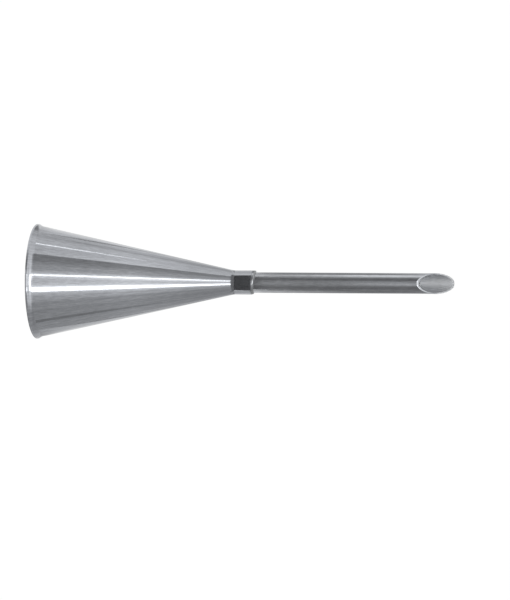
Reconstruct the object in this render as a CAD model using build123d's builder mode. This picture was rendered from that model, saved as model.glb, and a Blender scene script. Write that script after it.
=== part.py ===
from build123d import *
import math
import os

# Filling piping tip: a drawn sheet-metal cone with a thin slant-cut tube brazed into its collar.
# It stands on its wide rim at z = 0, with the tube pointing up +Z and the slanted mouth facing -Y.
# The origin is the middle of the rim. All sizes are in millimetres.

# Whole tip
overall_length = 92.0      # from the rim to the point of the tube
joint_height = 49.0        # from the rim to the top of the braze

# Tube
bore_diameter = 4.0
tube_wall = 0.25
mouth_length = 7.6         # how far the slanted mouth runs back from the point
point_land = 0.1           # thickness of the blunt edge left at the point

# Cone
sheet = 0.3                # thickness of the metal
rim_diameter = 25.2        # across the rim at its widest
flare_overhang = 0.2       # how far the rim stands out past the cone's straight line
flare_height = 1.6         # how far above the rim the flare starts
rim_grind = 0.03           # how deep the rounded rim is ground flat, so that the tip stands on it
neck_radius = 5.0          # bend between cone and collar, in the middle of the sheet
collar_length = 4.4        # from the corner of the neck to the collar's top
collar_chamfer = 0.1       # takes the burr off the collar's cut edge

# Braze
braze_gap = 0.1            # clearance between tube and collar, filled by the braze
shoulder_height = 0.6      # from the collar's top up the tube

# Worked out from the sizes above
tube_radius = bore_diameter / 2 + tube_wall
collar_inner = tube_radius + braze_gap
collar_middle = collar_inner + sheet / 2
collar_top = joint_height - shoulder_height
neck_height = collar_top - collar_length
half_sheet = sheet / 2


# The middle line of the sheet runs from the rim's rounded edge up the flare, the straight cone,
# the neck and the collar. The rim is then ground flat, and the collar is cut off square at its top.
rim_edge = Vector(rim_diameter / 2 - half_sheet, half_sheet - rim_grind)
cone_foot = Vector(rim_diameter / 2 - flare_overhang - half_sheet, 0)
neck_corner = Vector(collar_middle, neck_height)
collar_edge = Vector(collar_middle, collar_top)
cone_slope = neck_corner - cone_foot
flare_start = cone_foot + cone_slope * (flare_height / neck_height)

with BuildPart() as cone_body:
    with BuildSketch(Plane.XZ):
        with BuildLine():
            FilletPolyline(flare_start, neck_corner, collar_edge, radius=neck_radius)
            TangentArc(flare_start, rim_edge, tangent=-cone_slope)
            offset(amount=half_sheet)
        make_face()
    revolve(axis=Axis.Z)
    split(bisect_by=Plane.XY, keep=Keep.TOP)
    split(bisect_by=Plane.XY.offset(collar_top), keep=Keep.BOTTOM)
    cut_edges = cone_body.edges().group_by(Axis.Z)[-1]
    chamfer(cut_edges.sort_by(SortBy.RADIUS)[-1], length=collar_chamfer)


# The tube starts level with the corner of the neck. A plane through the blunt point and through
# the heel of the mouth, straight across the tube, cuts its other end.
mouth_heel = Vector(0, -tube_radius, overall_length - mouth_length)
mouth_point = Vector(0, tube_radius - point_land, overall_length)
mouth_slope = mouth_point - mouth_heel
mouth_plane = Plane(origin=mouth_point, x_dir=(1, 0, 0), z_dir=(0, -mouth_slope.Z, mouth_slope.Y))

with BuildPart() as filling_tube:
    with BuildSketch(Plane.XY.offset(neck_height)):
        Circle(tube_radius)
        Circle(tube_radius - tube_wall, mode=Mode.SUBTRACT)
    extrude(amount=overall_length - neck_height)
    split(bisect_by=mouth_plane, keep=Keep.BOTTOM)


# The braze fills the gap along the straight part of the collar, which starts where the bend of the
# neck ends. Above the collar's cut edge it ends in a rounded shoulder, which closes on the tube.
neck_turn = math.atan2(-cone_slope.X, cone_slope.Y)
braze_start = neck_height + neck_radius * math.tan(neck_turn / 2)

with BuildPart() as braze_ring:
    with BuildSketch(Plane.XZ):
        with BuildLine():
            TangentArc(collar_edge, (tube_radius, joint_height), tangent=(0, 1))
            Polyline(
                collar_edge,
                (collar_inner, collar_top),
                (collar_inner, braze_start),
                (tube_radius, braze_start),
                (tube_radius, joint_height),
            )
        make_face()
    revolve(axis=Axis.Z)


os.makedirs("parts", exist_ok=True)
cone_body.part.label = "cone_body"
filling_tube.part.label = "filling_tube"
braze_ring.part.label = "braze_ring"
export_step(cone_body.part, "parts/cone_body.step")
export_step(filling_tube.part, "parts/filling_tube.step")
export_step(braze_ring.part, "parts/braze_ring.step")
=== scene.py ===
import bpy
from math import cos, pi, radians, sin, tan
from mathutils import Matrix, Vector


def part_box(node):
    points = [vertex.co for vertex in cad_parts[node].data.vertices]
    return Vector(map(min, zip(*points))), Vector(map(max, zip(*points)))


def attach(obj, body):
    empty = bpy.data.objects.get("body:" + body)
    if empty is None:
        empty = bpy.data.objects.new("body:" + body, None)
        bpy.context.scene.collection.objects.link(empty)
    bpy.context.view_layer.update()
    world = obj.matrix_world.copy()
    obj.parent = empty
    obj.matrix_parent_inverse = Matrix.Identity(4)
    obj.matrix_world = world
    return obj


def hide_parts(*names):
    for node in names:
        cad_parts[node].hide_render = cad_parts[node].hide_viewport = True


# The filling piping tip stands on its wide rim, tube upward, in metres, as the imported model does.
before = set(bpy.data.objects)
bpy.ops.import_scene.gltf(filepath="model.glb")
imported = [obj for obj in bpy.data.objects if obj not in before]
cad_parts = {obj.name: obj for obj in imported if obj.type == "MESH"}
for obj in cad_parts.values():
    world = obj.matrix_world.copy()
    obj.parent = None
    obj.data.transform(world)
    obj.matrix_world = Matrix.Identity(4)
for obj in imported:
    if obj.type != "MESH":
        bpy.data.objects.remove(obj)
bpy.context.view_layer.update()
for piece in bpy.context.selected_objects:
    piece.select_set(False)


# The cone is drawn from one piece of thin stainless sheet, with a flared rim and a straight collar.
# It is polished along its length, and its rim is made a little long, rounded over and ground flat.
cone_low, cone_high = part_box("cone_body")
sheet = 0.0003
rim_middle = cone_high[0] - sheet / 2
rim_grind = 0.00003
rim_bottom = 0.000003 - rim_grind
rim_rounding = sheet * 0.46
flare_height = 0.0016
flare_overhang = 0.0002
lip_height = 0.0005
lip_overhang = 0.00007
collar_middle = 0.0025
collar_top = cone_high[2]
collar_length = 0.00458
neck_waist = 0.00002
neck_reach_down = 0.00067
neck_reach_up = 0.00041
shoulder_radius = 0.004
shoulder_start = collar_top - 0.00045
collar_end = collar_top - 0.0002
end_tilt = radians(7.1)
cone_segments = 288
wall_rings = 12
bend_rings = 12
lip_rings = 6
shoulder_rings = 5
smooth_below = radians(33)
same_place = 1e-7


def arc_points(start, tangent, end, steps):
    """Points after start on the arc that leaves it along tangent and arrives at end."""
    chord = end - start
    lean = tangent.angle_signed(chord)
    radius = chord.length / (2 * sin(lean))
    points = []
    for step in range(1, steps + 1):
        part = lean * step / steps
        points.append(start + Matrix.Rotation(-part, 2) @ tangent * 2 * radius * sin(part))
    return points


def turned_surface(name, rings, segments):
    """A surface turned about the tip's axis, through rings of (radius, height, tilt about Y)."""
    radius, height, tilt = rings[0]
    bpy.ops.mesh.primitive_circle_add(vertices=segments, radius=radius, location=(0, 0, height))
    piece = bpy.context.object
    piece.name = name
    bpy.ops.object.transform_apply(location=True, rotation=False, scale=False)
    bpy.ops.object.mode_set(mode="EDIT")
    bpy.ops.mesh.select_all(action="SELECT")
    for (r0, z0, tilt0), (r1, z1, tilt1) in zip(rings, rings[1:]):
        bpy.ops.mesh.extrude_edges_move(TRANSFORM_OT_translate={"value": (0, 0, z1 - z0)})
        bpy.ops.transform.resize(value=(r1 / r0,) * 3, center_override=(0, 0, z1))
        if tilt1 != tilt0:
            bpy.ops.transform.rotate(
                value=tilt1 - tilt0,
                orient_axis="Y",
                center_override=(0, 0, z1),
                constraint_axis=(False, True, False),
            )
    bpy.ops.mesh.select_all(action="SELECT")
    bpy.ops.mesh.normals_make_consistent(inside=False)
    bpy.ops.object.mode_set(mode="OBJECT")
    return piece


def apply_modifier(piece, kind, **settings):
    modifier = piece.modifiers.new(kind, kind)
    for setting, value in settings.items():
        setattr(modifier, setting, value)
    bpy.context.view_layer.objects.active = piece
    bpy.ops.object.modifier_apply(modifier=modifier.name)


def bevel_edges(piece, width, segments, wanted):
    """Rounds the edges whose two ends, given as points, are wanted."""
    bpy.ops.object.select_all(action="DESELECT")
    piece.select_set(True)
    bpy.context.view_layer.objects.active = piece
    bpy.ops.object.mode_set(mode="EDIT")
    bpy.ops.mesh.select_mode(type="EDGE")
    bpy.ops.mesh.select_all(action="DESELECT")
    bpy.ops.object.mode_set(mode="OBJECT")
    points = [vertex.co for vertex in piece.data.vertices]
    for edge in piece.data.edges:
        edge.select = wanted(*(points[end] for end in edge.vertices))
    bpy.ops.object.mode_set(mode="EDIT")
    bpy.ops.mesh.bevel(offset=width, segments=segments, affect="EDGES", clamp_overlap=False)
    bpy.ops.object.mode_set(mode="OBJECT")


def cut_off(piece, place, outward, across_wall=True):
    """Cuts away what lies beyond a plane. The cut is closed with a flat ring where it goes across
    the whole wall, and is filled where it takes off a corner."""
    bpy.context.view_layer.objects.active = piece
    bpy.ops.object.mode_set(mode="EDIT")
    bpy.ops.mesh.select_all(action="SELECT")
    bpy.ops.mesh.bisect(
        plane_co=place, plane_no=outward, clear_outer=True, use_fill=not across_wall, threshold=1e-8
    )
    if across_wall:
        bpy.ops.mesh.bridge_edge_loops()
    bpy.ops.object.mode_set(mode="OBJECT")


def finish_piece(piece, material, node):
    """Gives a piece its metal, smooths it, hangs it on the root and hides the node it replaces."""
    piece.data.materials.append(material)
    bpy.ops.object.select_all(action="DESELECT")
    piece.select_set(True)
    bpy.context.view_layer.objects.active = piece
    bpy.ops.object.shade_smooth_by_angle(angle=smooth_below)
    apply_modifier(piece, "WEIGHTED_NORMAL", keep_sharp=True)
    piece.select_set(False)
    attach(piece, "root")
    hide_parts(node)


# The sheet's middle line as points of (radius, height): rim, lip, flare, straight cone and neck.
cone_foot = Vector((rim_middle - flare_overhang, 0))
neck_corner = Vector((collar_middle, collar_top - collar_length))
up_cone = (neck_corner - cone_foot).normalized()
flare_start = cone_foot + up_cone * (flare_height / up_cone.y)
neck_start = neck_corner - up_cone * neck_reach_down
neck_end = neck_corner + Vector((-neck_waist, neck_reach_up))
lip_start = Vector((rim_middle - lip_overhang, lip_height))
flare = arc_points(flare_start, -up_cone, lip_start, bend_rings)
flare_lean = (-up_cone).angle_signed(lip_start - flare_start)
lip_turn = flare_lean * 2 - up_cone.angle_signed(Vector((0, 1)))
lip_end = lip_start + Vector((lip_overhang, -lip_overhang / tan(abs(lip_turn) / 2)))
lip = arc_points(lip_start, Matrix.Rotation(-lip_turn, 2) @ Vector((0, -1)), lip_end, lip_rings)
middle_line = [Vector((rim_middle, rim_bottom)), Vector((rim_middle, sheet / 2 - rim_grind))]
middle_line += [*reversed(lip), *reversed(flare), flare_start]
for step in range(1, wall_rings + 1):
    middle_line.append(flare_start.lerp(neck_start, step / wall_rings))
middle_line += arc_points(neck_start, up_cone, neck_end, bend_rings)

# The collar goes on as rings that tilt more and more toward its askew end, and curve in there. Two
# rings close to its ends keep the bends crisp.
collar_parts = (0.01, 0.25, 0.5, 0.75, 0.99, 1)
cone_rings = [(point.x, point.y, 0) for point in middle_line]
for part in collar_parts:
    height = neck_end.y + (shoulder_start - neck_end.y) * part
    cone_rings.append((collar_middle - neck_waist * (1 - part), height, end_tilt * part / 2))
for step in range(1, shoulder_rings + 1):
    part = step / shoulder_rings
    rise = (collar_end - shoulder_start) * part
    inward = rise * rise / (2 * shoulder_radius)
    cone_rings.append((collar_middle - inward, shoulder_start + rise, end_tilt * (1 + part) / 2))

cone = turned_surface("cone", cone_rings, cone_segments)
apply_modifier(cone, "SOLIDIFY", thickness=sheet, offset=0, use_even_offset=True)


def on_rim_bottom(a, b):
    level = max(a.z, b.z) < rim_bottom + same_place
    return level and abs(a.to_2d().length - b.to_2d().length) < same_place


bevel_edges(cone, rim_rounding, segments=6, wanted=on_rim_bottom)
cut_off(cone, (0, 0, cone_low[2]), (0, 0, -1))


# The finish is made of shader nodes. Each helper below adds one, and gives back what it puts out.
def wire(tree, node, sockets):
    """Gives each socket of a node a value, or another node's output to read."""
    for socket, given in sockets.items():
        if isinstance(given, bpy.types.NodeSocket):
            tree.links.new(given, node.inputs[socket])
        else:
            node.inputs[socket].default_value = given


def new_node(tree, kind, sockets=None, **settings):
    node = tree.nodes.new(kind)
    for setting, value in settings.items():
        setattr(node, setting, value)
    wire(tree, node, sockets or {})
    return node


def new_group(name, given, results):
    """An empty node group with the values that it is given and the names of its results."""
    group = bpy.data.node_groups.new(name, "ShaderNodeTree")
    for label, value in given.items():
        socket = group.interface.new_socket(label, in_out="INPUT", socket_type="NodeSocketFloat")
        socket.default_value = value
    for label in results:
        group.interface.new_socket(label, in_out="OUTPUT", socket_type="NodeSocketFloat")
    return group


def value_math(tree, operation, first, second):
    return new_node(tree, "ShaderNodeMath", {0: first, 1: second}, operation=operation).outputs[0]


def vector_math(tree, operation, sockets):
    node = new_node(tree, "ShaderNodeVectorMath", sockets, operation=operation)
    return node.outputs["Value" if operation == "DOT_PRODUCT" else "Vector"]


def noise(tree, place, scale, detail, roughness):
    sockets = {"Vector": place, "Scale": scale, "Detail": detail, "Roughness": roughness}
    return new_node(tree, "ShaderNodeTexNoise", sockets).outputs["Fac"]


def stretch(tree, value, before, after):
    """Turns the range that a value has before into the range after."""
    sockets = {"Value": value, "From Min": before[0], "From Max": before[1]}
    sockets.update({"To Min": after[0], "To Max": after[1]})
    return new_node(tree, "ShaderNodeMapRange", sockets).outputs["Result"]


def colour_mix(tree, share, first, second, blend="MIX"):
    sockets = {"Factor": share, "A": first, "B": second}
    node = new_node(tree, "ShaderNodeMix", sockets, data_type="RGBA", blend_type=blend)
    return node.outputs["Result"]


def place_on_tip(tree):
    return new_node(tree, "ShaderNodeTexCoord").outputs["Object"]


def height_on_tip(tree):
    return new_node(tree, "ShaderNodeSeparateXYZ", {0: place_on_tip(tree)}).outputs["Z"]


def away_from_axis(tree):
    """The level direction from the tip's axis to a place on it."""
    level = vector_math(tree, "MULTIPLY", {0: place_on_tip(tree), 1: (1, 1, 0)})
    return vector_math(tree, "NORMALIZE", {0: level})


scratch_squeeze = (1, 1, 20)


def drawn_lines_group():
    """Lines left by drawing and polishing a turned piece along its axis. Lines is how many lie
    around it, and Run is how fast they change along it, per metre. Short is the scratches of
    handling and washing."""
    group = new_group("drawn_lines", {"Lines": 60.0, "Run": 100.0}, ("Fine", "Short", "Broad"))
    given = new_node(group, "NodeGroupInput").outputs
    around = vector_math(group, "SCALE", {0: away_from_axis(group), "Scale": given["Lines"]})
    run = value_math(group, "MULTIPLY", height_on_tip(group), given["Run"])
    rise = new_node(group, "ShaderNodeCombineXYZ", {"Z": run}).outputs["Vector"]
    along = vector_math(group, "ADD", {0: around, 1: rise})
    shorter = vector_math(group, "MULTIPLY", {0: along, 1: scratch_squeeze})
    new_node(group, "NodeGroupOutput", {
        "Fine": noise(group, along, scale=1.0, detail=3, roughness=0.6),
        "Short": noise(group, shorter, scale=0.5, detail=3, roughness=0.6),
        "Broad": noise(group, along, scale=0.14, detail=3, roughness=0.5),
    })
    return group


def inner_face_group():
    """A mask of the wall that faces the tip's axis, which the polishing wheel doesn't reach."""
    group = new_group("inner_face", {}, ("Mask",))
    normal = new_node(group, "ShaderNodeNewGeometry").outputs["True Normal"]
    facing = vector_math(group, "DOT_PRODUCT", {0: away_from_axis(group), 1: normal})
    mask = stretch(group, facing, before=(0.1, -0.3), after=(0, 1))
    new_node(group, "NodeGroupOutput", {"Mask": mask})
    return group


def worn_edge_group():
    """A mask of the outward edges, which handling keeps bright."""
    group = new_group("worn_edge", {}, ("Mask",))
    pointiness = new_node(group, "ShaderNodeNewGeometry").outputs["Pointiness"]
    edge = stretch(group, pointiness, before=(0.53, 0.62), after=(0, 1))
    breaks = noise(group, place_on_tip(group), scale=900, detail=2, roughness=0.5)
    new_node(group, "NodeGroupOutput", {"Mask": value_math(group, "MULTIPLY", edge, breaks)})
    return group


drawn_lines = drawn_lines_group()
inner_face = inner_face_group()
worn_edge = worn_edge_group()
worn_bright = (0.62, 0.63, 0.65, 1)
painted_light_tint = (1, 1, 1)
inner_tint = (0.98, 1, 1.03)
noise_range = (0.3, 0.7)
scratch_tones = (0.87, 1.13)
line_depth = 0.00001


def tone_by_height(tree, stops, tint):
    """A tinted grey that changes along the tip, through stops given as (height, tone)."""
    low, high = stops[0][0], stops[-1][0]
    share = stretch(tree, height_on_tip(tree), before=(low, high), after=(0, 1))
    node = new_node(tree, "ShaderNodeValToRGB", {"Fac": share})
    node.color_ramp.interpolation = "EASE"
    for height, tone in stops[1:-1]:
        node.color_ramp.elements.new((height - low) / (high - low))
    for element, (height, tone) in zip(node.color_ramp.elements, stops):
        element.color = (*(tone * part for part in tint), 1)
    return node.outputs["Color"]


def steel_material(name, dark, light, lines, run, gloss, inner_gloss, outside, inside, relief):
    """Stainless steel with its drawing lines in colour, gloss and relief, dull inside and bright
    along its edges. Gloss is the roughness. Both faces change in tone along the tip, through the
    stops of outside and inside; where these are not even, the change is painted light and shade."""
    material = bpy.data.materials.new(name)
    material.use_nodes = True
    tree = material.node_tree
    line_values = {"Lines": lines, "Run": run}
    grain = new_node(tree, "ShaderNodeGroup", line_values, node_tree=drawn_lines).outputs
    inner = new_node(tree, "ShaderNodeGroup", node_tree=inner_face).outputs["Mask"]
    edge = new_node(tree, "ShaderNodeGroup", node_tree=worn_edge).outputs["Mask"]
    bands = new_node(tree, "ShaderNodeValToRGB", {"Fac": grain["Broad"]})
    for element, place, colour in zip(bands.color_ramp.elements, noise_range, (dark, light)):
        element.position = place
        element.color = (*colour, 1)
    bright = colour_mix(tree, edge, bands.outputs["Color"], worn_bright)
    # The outside's tone along the tip, where it is not even, is painted light and shade over the
    # steel.
    painted_light_along_tip = tone_by_height(tree, outside, painted_light_tint)
    toned = colour_mix(tree, 1.0, bright, painted_light_along_tip, "MULTIPLY")
    scratches = stretch(tree, grain["Short"], noise_range, scratch_tones)
    scratched = colour_mix(tree, 1.0, toned, scratches, "MULTIPLY")
    # Inside is the wall's duller colour; in the tube's bore this tone is painted light and shade
    # too.
    dull_and_painted_light = tone_by_height(tree, inside, inner_tint)
    outer_gloss = stretch(tree, grain["Fine"], (0, 1), gloss)
    gloss_sockets = {"Factor": inner, "A": outer_gloss, "B": inner_gloss}
    bump_sockets = {"Strength": relief, "Distance": line_depth, "Height": grain["Fine"]}
    wire(tree, tree.nodes["Principled BSDF"], {
        "Metallic": 1.0,
        "Base Color": colour_mix(tree, inner, scratched, dull_and_painted_light),
        "Roughness": new_node(tree, "ShaderNodeMix", gloss_sockets).outputs["Result"],
        "Normal": new_node(tree, "ShaderNodeBump", bump_sockets).outputs["Normal"],
    })
    return material


cone_steel = steel_material(
    "cone_steel",
    dark=(0.465, 0.48, 0.512),
    light=(0.575, 0.593, 0.629),
    lines=70,
    run=60,
    gloss=(0.05, 0.12),
    inner_gloss=0.4,
    # The outside's tone is painted light and shade along the cone: lightest at its middle, darker
    # toward the rim and the collar.
    outside=[
        (0, 0.83), (0.004, 0.83), (0.012, 0.84), (0.0223, 0.95), (0.0297, 0.88), (0.037, 0.8),
        (0.048, 0.81),
    ],
    inside=[(0, 0.45), (0.048, 0.45)],
    relief=0.15,
)
finish_piece(cone, cone_steel, "cone_body")


# The tube is thin-walled drawn stainless, pushed into the collar and cut on a slant at the top.
# Its cut edge is left narrow and bright, with the burr taken off and the point made blunt.
tube_low, tube_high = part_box("filling_tube")
tube_radius = tube_high[0]
tube_wall = 0.00025
tube_spare = 0.004
mouth_length = 0.0076
burr_bevel = 0.00008
point_land = 0.0001
point_dub = radians(50)
tube_segments = 192
bpy.ops.mesh.primitive_cylinder_add(
    vertices=tube_segments,
    radius=tube_radius,
    depth=tube_high[2] - tube_low[2] + tube_spare,
    end_fill_type="NOTHING",
    location=(0, 0, (tube_high[2] + tube_low[2]) / 2 + tube_spare / 2),
)
tube = bpy.context.object
tube.name = "tube"
bpy.ops.object.transform_apply(location=True, rotation=False, scale=False)
apply_modifier(tube, "SOLIDIFY", thickness=tube_wall, offset=-1, use_even_offset=True)
mouth_point = Vector((0, tube_radius - point_land, tube_high[2]))
mouth_rise = Vector((0, 2 * tube_radius - point_land, mouth_length)).normalized()
mouth_outward = Vector((0, -mouth_rise.z, mouth_rise.y))
cut_off(tube, mouth_point, mouth_outward)


def on_outer_cut(a, b):
    on_cut = all(abs((point - mouth_point).dot(mouth_outward)) < same_place for point in (a, b))
    return on_cut and min(a.to_2d().length, b.to_2d().length) > tube_radius - tube_wall / 2


bevel_edges(tube, burr_bevel, segments=3, wanted=on_outer_cut)
dub_outward = (0, -cos(point_dub), sin(point_dub))
cut_off(tube, (0, tube_radius, tube_high[2]), dub_outward, across_wall=False)
tube_steel = steel_material(
    "tube_steel",
    dark=(0.39, 0.403, 0.43),
    light=(0.47, 0.484, 0.512),
    lines=14,
    run=60,
    gloss=(0.06, 0.11),
    inner_gloss=0.56,
    outside=[(0.044, 1), (0.092, 1)],
    # The bore is painted light: lighter deep in the tube, where its own shade falls, and painted
    # shade darker toward the slanted mouth.
    inside=[(0.044, 0.79), (0.0846, 0.79), (0.0868, 0.66), (0.0888, 0.57), (0.092, 0.56)],
    relief=0.15,
)
finish_piece(tube, tube_steel, "filling_tube")


# The braze is the ring of filler metal that joins tube and collar. It was run in by hand and
# polished over, so its rounded shoulder sits a little askew, higher on one side than on the other.
braze_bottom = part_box("braze_ring")[0][2]
braze_gap = 0.0001
hairline = 0.00001
end_inward = (collar_end - shoulder_start) ** 2 / (2 * shoulder_radius)
braze_inner = tube_radius + braze_gap
braze_outer = collar_middle + sheet / 2 - end_inward
shoulder = [
    (hairline, hairline), (0.00002, 0.0001), (0.000045, 0.0002), (0.00008, 0.00028),
    (0.00012, 0.00033), (0.00017, 0.00036), (0.00022, 0.00038),
]
foot_on_tube = [
    (0.0001, 0.0004), (0.00005, 0.00043), (hairline, 0.00049), (-0.00002, 0.00049), (-0.00002, 0),
]
braze_rings = [
    (tube_radius, braze_bottom, 0),
    (braze_inner, braze_bottom, 0),
    (braze_inner, shoulder_start, 0),
    (braze_inner - end_inward - hairline, collar_end - hairline, end_tilt),
]
braze_rings += [(braze_outer - inward, collar_end + rise, end_tilt) for inward, rise in shoulder]
braze_rings += [(tube_radius + out, collar_end + rise, end_tilt) for out, rise in foot_on_tube]
braze_rings.append((tube_radius, braze_bottom, 0))
braze = turned_surface("braze", braze_rings, tube_segments)
bpy.ops.object.mode_set(mode="EDIT")
bpy.ops.mesh.select_all(action="SELECT")
bpy.ops.mesh.remove_doubles(threshold=same_place)
bpy.ops.mesh.normals_make_consistent(inside=False)
bpy.ops.object.mode_set(mode="OBJECT")
braze_metal = steel_material(
    "braze",
    dark=(0.32, 0.327, 0.34),
    light=(0.39, 0.398, 0.41),
    lines=6,
    run=300,
    gloss=(0.22, 0.3),
    inner_gloss=0.4,
    outside=[(0.044, 1), (0.049, 1)],
    inside=[(0.044, 0.35), (0.049, 0.35)],
    relief=0.3,
)
finish_piece(braze, braze_metal, "braze_ring")


# The floor is a plain pale sheet of paper under the tip. It looks white to the camera and in the
# metal, and keeps a soft shadow.
floor_radius = 6
paper_white = 1.1
paper_share = 0.85
bpy.ops.mesh.primitive_circle_add(
    vertices=96, radius=floor_radius, fill_type="NGON", location=(0, 0, 0)
)
floor = bpy.context.object
floor.name = "floor"


def seen_directly(tree):
    """1 to the camera, in metal and in glass, and 0 for the light that falls on the pieces."""
    ray = new_node(tree, "ShaderNodeLightPath").outputs
    seen = value_math(tree, "ADD", ray["Is Camera Ray"], ray["Is Glossy Ray"])
    return value_math(tree, "ADD", seen, ray["Is Transmission Ray"])


floor_material = bpy.data.materials.new("floor")
floor_material.use_nodes = True
tree = floor_material.node_tree
matt = tree.nodes["Principled BSDF"]
wire(tree, matt, {"Base Color": (0.8, 0.8, 0.8, 1), "Roughness": 0.9, "Specular IOR Level": 0.0})
paper = new_node(tree, "ShaderNodeEmission", {"Strength": paper_white}).outputs[0]
share = value_math(tree, "MULTIPLY", seen_directly(tree), paper_share)
blend = new_node(tree, "ShaderNodeMixShader", {0: share, 1: matt.outputs[0], 2: paper})
wire(tree, tree.nodes["Material Output"], {"Surface": blend.outputs[0]})
floor.data.materials.append(floor_material)


# The world is an even pale light from all round, as in a room with white walls. It is a little
# brighter where the camera or the metal sees it, so that the page round the tip is white.
light_on_pieces = 0.6
white_as_seen = 1.0
world = bpy.data.worlds.new("pale_room")
bpy.context.scene.world = world
world.use_nodes = True
tree = world.node_tree
strength = stretch(tree, seen_directly(tree), before=(0, 1), after=(light_on_pieces, white_as_seen))
wire(tree, tree.nodes["Background"], {"Color": (1, 1, 1, 1), "Strength": strength})


# Grey cards stand and lie around the tip, where only the polished metal sees them, and give it its
# dark bands. Directions are degrees round the tip from the camera's side, positive to the
# picture's top.
column_degrees = 3
# The cards are lit by no lamp: each glows with its own tone, bright or dark, and only the metal's
# reflections show it.
glowing_card = bpy.data.materials.new("glowing_card")
glowing_card.use_nodes = True
tree = glowing_card.node_tree
tree.nodes.remove(tree.nodes["Principled BSDF"])
tone = new_node(tree, "ShaderNodeAttribute", attribute_name="tone").outputs["Fac"]
glow = new_node(tree, "ShaderNodeEmission", {"Strength": tone})
wire(tree, tree.nodes["Material Output"], {"Surface": glow.outputs[0]})


def direction(degrees):
    return Vector((-sin(radians(degrees)), -cos(radians(degrees)), 0))


def standing(distance, *heights):
    return [(distance, height) for height in heights]


def lying(height, *distances):
    return [(distance, height) for distance in distances]


def card(name, rows, stops, scales=None):
    """A sheet bent round the tip. A row is a (distance, height). A stop is the degrees and the tone
    at each row, or the one tone of all rows, and all runs evenly from one stop to the next. Scales
    are the share of its heights that the card has at each stop."""
    folds = []
    for (degrees, *greys), scale in zip(stops, scales or [1] * len(stops)):
        if len(greys) == 1:
            greys *= len(rows)
        folds.append((degrees, scale, *greys))
    columns = []
    for first, last in zip(folds, folds[1:]):
        steps = max(1, round(abs(last[0] - first[0]) / column_degrees))
        for step in range(steps):
            columns.append([a + (b - a) * step / steps for a, b in zip(first, last)])
    columns.append(folds[-1])
    points = []
    tones = []
    for degrees, scale, *greys in columns:
        for (distance, height), grey in zip(rows, greys):
            points.append(direction(degrees) * distance + Vector((0, 0, height * scale)))
            tones.append(grey)
    faces = []
    for column in range(len(columns) - 1):
        for row in range(len(rows) - 1):
            corner = column * len(rows) + row
            faces.append((corner, corner + 1, corner + len(rows) + 1, corner + len(rows)))
    mesh = bpy.data.meshes.new(name)
    mesh.from_pydata(points, [], faces)
    mesh.attributes.new("tone", "FLOAT", "POINT").data.foreach_set("value", tones)
    mesh.materials.append(glowing_card)
    paper_card = bpy.data.objects.new(name, mesh)
    bpy.context.scene.collection.objects.link(paper_card)
    paper_card.visible_camera = False
    paper_card.visible_diffuse = False
    paper_card.visible_shadow = False


# The ring of cards before the tip makes the bands of the cone's near side.
ring_distance = 1.2
card("card_upper", standing(ring_distance, 0, 0.276, 0.292, 0.38, 0.62), [
    (59.3, 0.35, 0.35, 0.47, 0.5, 1), (55, 0.35, 0.35, 0.47, 0.5, 1),
    (50.4, 0.36, 0.36, 0.42, 0.46, 1), (46, 0.4, 0.4, 0.43, 0.45, 1),
    (41, 0.46, 0.46, 0.48, 0.5, 1), (36.6, 0.52, 0.52, 0.53, 0.55, 1),
    (32.3, 0.59, 0.59, 0.59, 0.6, 1), (27.7, 0.63, 0.63, 0.63, 0.65, 1),
    (23.5, 0.71, 0.71, 0.71, 0.72, 1), (19.5, 0.88, 0.88, 0.88, 0.88, 1), (16.8, 1.1),
])
card("card_middle", standing(ring_distance, 0, 0.295, 0.338, 0.355, 0.62), [
    (16.8, 1.1, 1.1, 1.1, 1.2, 1.2), (11.7, 1.3, 1.3, 1.6, 1.8, 1.8),
    (9.5, 1.2, 1.2, 1.55, 1.8, 1.8), (7, 1.1, 1.15, 1.45, 1.75, 1.75),
    (4, 1.04, 1.04, 1.2, 1.45, 1.45), (0, 0.99, 0.99, 1, 1.15, 1.15), (-5, 1.1), (-9, 1.35),
    (-11.5, 1.7), (-13.3, 2), (-21.6, 1.6), (-24.5, 1.05),
])
card("card_lower", standing(ring_distance, 0, 0.38, 0.62), [
    (-24.5, 1.05), (-26.7, 0.98, 0.98, 1), (-31.2, 0.82, 0.82, 1), (-35.6, 0.73, 0.73, 1),
    (-40.1, 0.67, 0.67, 1), (-44.8, 0.57, 0.57, 0.95),
])

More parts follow.
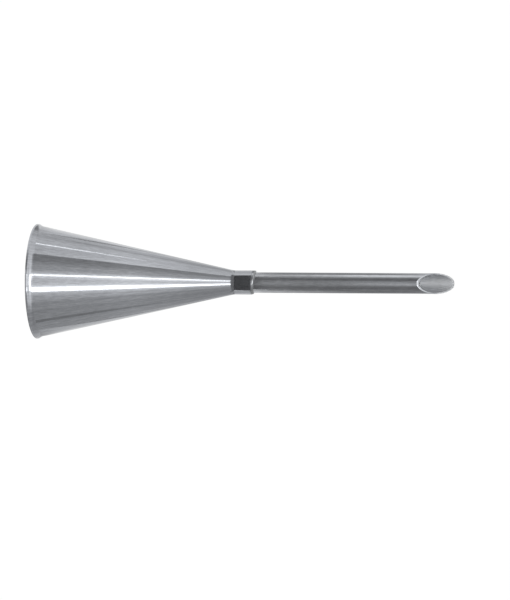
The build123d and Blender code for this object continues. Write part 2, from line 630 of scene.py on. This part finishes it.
# Tall cards at the sides and behind shade the cone toward its two outlines.
card("card_lower_tall", standing(ring_distance, 0, 0.42, 0.75, 2.4), [
    (-44.8, 0.57, 0.57, 0.95, 0.95), (-49.5, 0.58, 0.43, 1, 1), (-54.4, 0.6, 0.43, 0.95, 0.95),
    (-59.2, 0.6, 0.43, 0.75, 0.75), (-64.2, 0.54, 0.39, 0.65, 0.65),
    (-69.4, 0.54, 0.39, 0.55, 0.55), (-74.8, 0.53, 0.38, 0.48, 0.48), (-85.9, 0.56, 0.4, 0.5, 0.5),
    (-97.7, 0.54, 0.4, 0.48, 0.48), (-104, 0.53, 0.44, 0.49, 0.49), (-111, 0.51), (-122, 0.5),
    (-132, 0.55), (-145, 0.68, 0.64, 0.6, 0.6), (-180, 0.72, 0.66, 0.65, 0.65),
])
card("card_upper_tall", standing(ring_distance, 0, 0.1, 0.16, 0.25, 2.4), [
    (59.3, 0.96), (64.5, 0.94, 0.94, 0.94, 0.98, 0.98), (69.4, 0.87, 0.87, 0.85, 0.94, 0.94),
    (74.4, 0.885, 0.885, 0.85, 0.95, 0.95), (79.7, 0.93, 0.93, 0.88, 0.98, 0.98),
    (85.1, 0.89, 0.89, 0.85, 0.96, 0.96), (91, 0.84, 0.84, 0.8, 0.92, 0.92),
    (97, 0.825, 0.825, 0.825, 0.92, 0.92), (103, 0.79, 0.79, 0.79, 0.87, 0.87),
    (110, 0.72, 0.72, 0.72, 0.8, 0.8), (117.7, 0.7, 0.7, 0.7, 0.74, 0.74),
    (126, 0.86, 0.6, 0.6, 0.7, 0.7), (132, 0.85, 0.5, 0.5, 0.6, 0.6),
    (145, 0.9, 0.5, 0.5, 0.6, 0.6), (155, 0.9, 0.5, 0.5, 0.6, 0.6),
    (180, 0.8, 0.7, 0.65, 0.65, 0.65),
])

# Sheets above the ring light the flare of the rim and the cut edge of the mouth, and a dark one
# lies overhead. A low dark skirt stands inside the ring.
glow_distance = 1.3
card("card_glow_upper", standing(glow_distance, 0.52, 1.25), [
    (50, 1), (35, 1.1), (22, 1.35), (14, 1.5),
])
card("card_glow_lower", standing(glow_distance, 0.52, 1.25), [(-22, 1.5), (-32, 1.25), (-44, 1)])
card("card_glow_front", standing(glow_distance, 1.19, 1.65, 1.77, 1.84, 2.4), [
    (20, 1.3, 1, 0.7, 0.4, 0.35), (8, 1.6, 1.15, 0.72, 0.38, 0.35),
    (-12, 1.6, 1.15, 0.72, 0.38, 0.35), (-26, 1.3, 1, 0.7, 0.4, 0.35),
])
card("card_overhead", lying(1.5, 0.02, 0.75), [(180, 0.35), (-180, 0.35)])
card(
    "card_skirt",
    standing(1.05, 0, 0.22),
    [(degrees, 0.26) for degrees in (75, 62, 45, 30, 0, -30, -45, -60, -75, -90)],
    scales=(0.56, 0.72, 0.86, 0.95, 1, 0.95, 0.86, 0.74, 0.56, 0.36),
)

# Narrow strips before the tall cards draw the thin lines along the cone.
strip_distance = 1.15
card("line_upper", standing(strip_distance, 0.1, 0.156, 0.174), [
    (86.2, 2.6, 2.6, 0.9), (84.6, 2.6, 2.6, 0.9),
])
card("spot_upper_dark", standing(strip_distance, 0.1, 0.5), [(162, 0.35), (136, 0.35), (128, 0.5)])
card("line_upper_dark", standing(strip_distance, 0.04, 0.13), [(117, 0.62), (109, 0.62)])
card("line_lower_dark", standing(strip_distance, 0.04, 0.146, 0.17), [
    (-88.5, 0.3, 0.3, 0.48), (-96.6, 0.28, 0.28, 0.48),
])

# Mats lie on the floor round the tip. The rim mirrors the nearest of them, the collar the next, and
# the tube the widest. Those behind the tip shade the cone at its outlines.
collar_dark = 0.085
card("mat_rim", lying(0.00002, 0.0123, 0.0165), [
    (95, 0.6), (70, 1), (37, 1), (31, 0.55), (27, 0.42), (22, 0.28), (15, 0.3), (10, 0.75),
    (-8, 0.75), (-14, 0.5), (-20, 0.38), (-24, 0.36), (-31, 0.45), (-35, 0.47), (-45, 0.38),
    (-57, 0.45), (-72, 0.6), (-100, 0.6),
])
card("mat_collar", lying(0.0006, 0.19, 0.293), [(70, collar_dark), (-79, collar_dark)])
card("mat_collar_top", lying(0.0006, 0.255, 0.281), [(74, collar_dark), (70, collar_dark)])
card("mat_collar_bottom", lying(0.0006, 0.255, 0.281), [(-79, collar_dark), (-88, collar_dark)])
card("mat_tube", lying(0.0006, 0.293, 0.335, 0.45, 0.506, 0.6, 0.7, 1.05), [
    (180, 0.6, 0.6, 0.6, 0.7, 0.7, 0.8, 0.9), (148, 0.7, 0.7, 0.8, 0.85, 0.85, 0.9, 0.9),
    (139, 0.56, 0.5, 0.5, 0.5, 0.75, 0.95, 0.95), (129, 0.49, 0.36, 0.27, 0.2, 0.27, 0.95, 0.95),
    (108, 0.6, 0.47, 0.43, 0.52, 0.58, 0.75, 0.9), (91, 0.7, 0.73, 1.12, 1.34, 1.25, 1.2, 0.9),
    (76, 0.72, 0.52, 0.72, 0.95, 1, 0.9, 0.6), (63, 0.52, 0.39, 0.42, 0.52, 0.45, 0.4, 0.26),
    (50, 0.36, 0.28, 0.27, 0.28, 0.26, 0.26, 0.26), (38, 0.34, 0.23, 0.21, 0.24, 0.25, 0.26, 0.26),
    (26.5, 0.45, 0.31, 0.29, 0.34, 0.3, 0.28, 0.26), (15, 0.46, 0.38, 0.38, 0.5, 0.48, 0.48, 0.26),
    (4, 0.56, 0.41, 0.34, 0.56, 0.56, 0.56, 0.26), (-7, 0.6, 0.44, 0.36, 0.62, 0.7, 0.7, 0.26),
    (-18.5, 0.54, 0.38, 0.33, 0.55, 0.7, 0.7, 0.26), (-30, 0.5, 0.34, 0.34, 0.38, 0.45, 0.45, 0.26),
    (-41.5, 0.36, 0.28, 0.26, 0.27, 0.26, 0.26, 0.26),
    (-54, 0.32, 0.23, 0.22, 0.26, 0.26, 0.26, 0.26),
    (-65, 0.41, 0.28, 0.22, 0.23, 0.26, 0.26, 0.26), (-79, 0.4, 0.25, 0.25, 0.33, 0.3, 0.26, 0.26),
    (-94, 0.39, 0.35, 0.24, 0.27, 0.28, 0.3, 0.4), (-112, 0.88, 0.68, 0.43, 0.31, 0.3, 0.4, 0.6),
    (-130, 0.75, 0.55, 0.35, 0.25, 0.3, 0.45, 0.6), (-140, 0.65, 0.5, 0.42, 0.4, 0.45, 0.55, 0.6),
    (-150, 0.75, 0.68, 0.62, 0.62, 0.65, 0.7, 0.7), (-180, 0.6, 0.6, 0.6, 0.7, 0.7, 0.8, 0.9),
])
card("mat_behind_upper", lying(0.0003, 0.016, 0.293), [
    (95, 0.75), (120, 0.8, 0.85), (137, 0.95), (150, 0.95, 0.9), (180, 0.75, 0.6),
])
card("mat_behind_lower", lying(0.0003, 0.016, 0.24, 0.293), [
    (-95, 0.5), (-106, 0.45, 0.6, 0.75), (-124, 0.56, 0.8, 1.05), (-137, 0.68, 0.78, 0.95),
    (-150, 0.9, 0.8, 0.85), (-180, 0.7, 0.6, 0.56),
])

# A bright and a dark strip behind give the far side of the steel its bands in views from there.
card("back_strip", standing(strip_distance, 0.2, 0.62), [(176, 2.2), (169, 2.2)])
card("back_dark", standing(strip_distance, 0.275, 0.62), [(-150, 0.35), (-166, 0.25)])


# Soft lamps: two upright strips draw the bright lines along the cone, and a broad one above and
# between them lights the flare.
def lamp(name, distance, degrees, height, width, tall, radiance):
    light = bpy.data.lights.new(name, "AREA")
    light.shape = "RECTANGLE"
    light.size = width
    light.size_y = tall
    light.energy = radiance * pi * width * tall
    lamp_object = bpy.data.objects.new(name, light)
    bpy.context.scene.collection.objects.link(lamp_object)
    lamp_object.location = direction(degrees) * distance + Vector((0, 0, height))
    level = Vector((-lamp_object.location.x, -lamp_object.location.y, 0))
    lamp_object.rotation_euler = level.to_track_quat("-Z", "Y").to_euler()
    lamp_object.visible_camera = False


lamp("strip_upper", distance=1.1, degrees=13.2, height=0.43, width=0.05, tall=0.40, radiance=2.8)
lamp("strip_lower", distance=1.1, degrees=-17.7, height=0.43, width=0.17, tall=0.40, radiance=2.5)
lamp("top_front", distance=1.25, degrees=-4, height=0.83, width=0.84, tall=0.72, radiance=2.4)


# The camera looks at the standing tip from the side and slightly from above. It is turned a quarter
# round, so the tip lies across the picture, its tube to the right and a little nearer.
view_tilt = radians(9.55)
view_roll = -0.0065
view_distance = 0.951
right_of_rim = 0.047887
below_rim = 0.00412
focal_pixels = 4325.8
picture_long_side = 600
camera_data = bpy.data.cameras.new("camera")
camera = bpy.data.objects.new("camera", camera_data)
bpy.context.scene.collection.objects.link(camera)
forward = Vector((0, cos(view_tilt), -sin(view_tilt)))
right = Matrix.Rotation(view_roll, 3, forward) @ Vector((0, sin(view_tilt), cos(view_tilt)))
upward = right.cross(forward)
place = right * right_of_rim - upward * below_rim - forward * view_distance
turn = Matrix((right, upward, -forward)).transposed().to_4x4()
camera.matrix_world = Matrix.Translation(place) @ turn
camera_data.lens = focal_pixels * camera_data.sensor_width / picture_long_side
bpy.context.scene.camera = camera
bpy.context.scene.view_settings.view_transform = "Standard"
